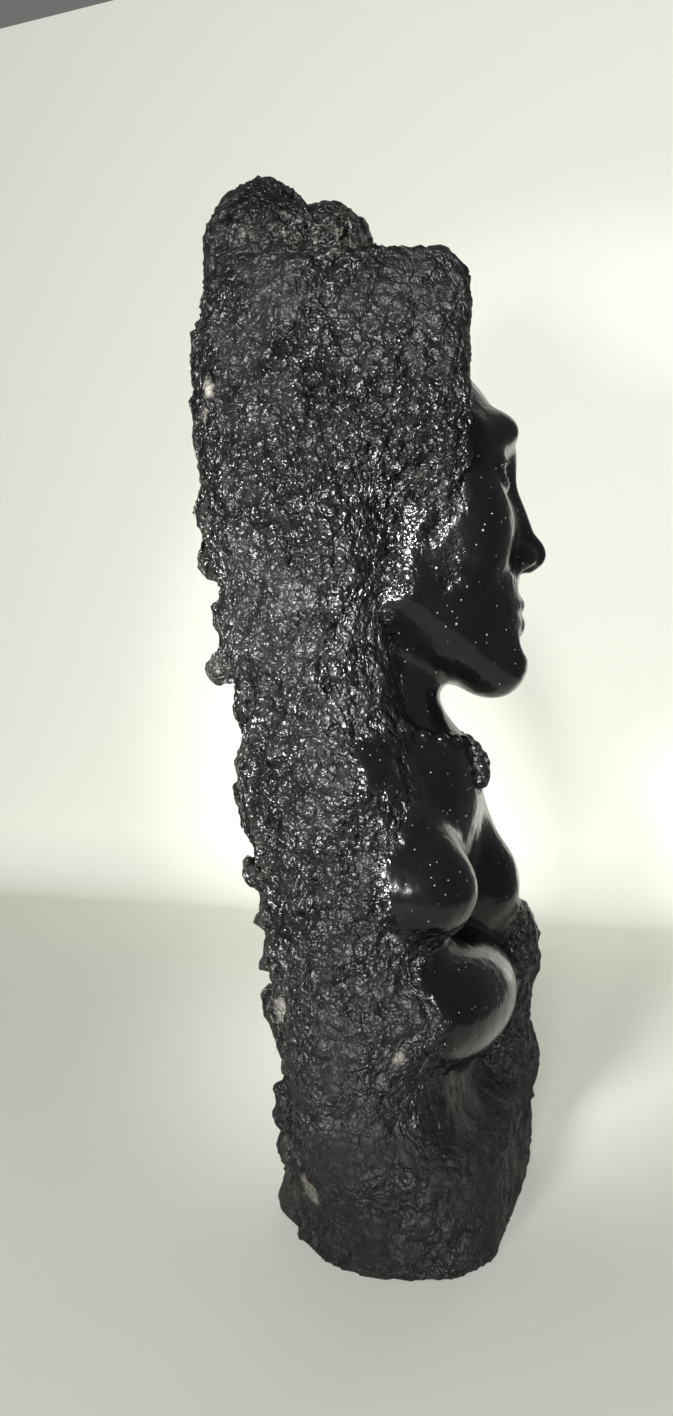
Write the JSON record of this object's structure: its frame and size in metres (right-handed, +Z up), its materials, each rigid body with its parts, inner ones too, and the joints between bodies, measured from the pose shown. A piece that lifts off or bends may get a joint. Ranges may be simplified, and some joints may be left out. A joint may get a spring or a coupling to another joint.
{
  "type": "lava stone bust",
  "caption": "Small standing bust of a woman, cast in near-black lava stone: polished face, neck, breasts and belly set in a rough block of hair and rock with a flat underside.",
  "frame": {"origin": "bottom centre of the part's bounding box, on the plane it stands on", "axes": "+Z up, the chest and the front of the base face -Y, the figure's right side is -X"},
  "size_m": [0.094, 0.0942, 0.26],
  "materials": {
    "lava_stone": "near-black lava stone cast in resin: polished skin with fine pale specks, rough glossy crumbly hair, back and base"
  },
  "bodies": {
    "root": {"lava_bust": "lava_stone"}
  },
  "joints": []
}
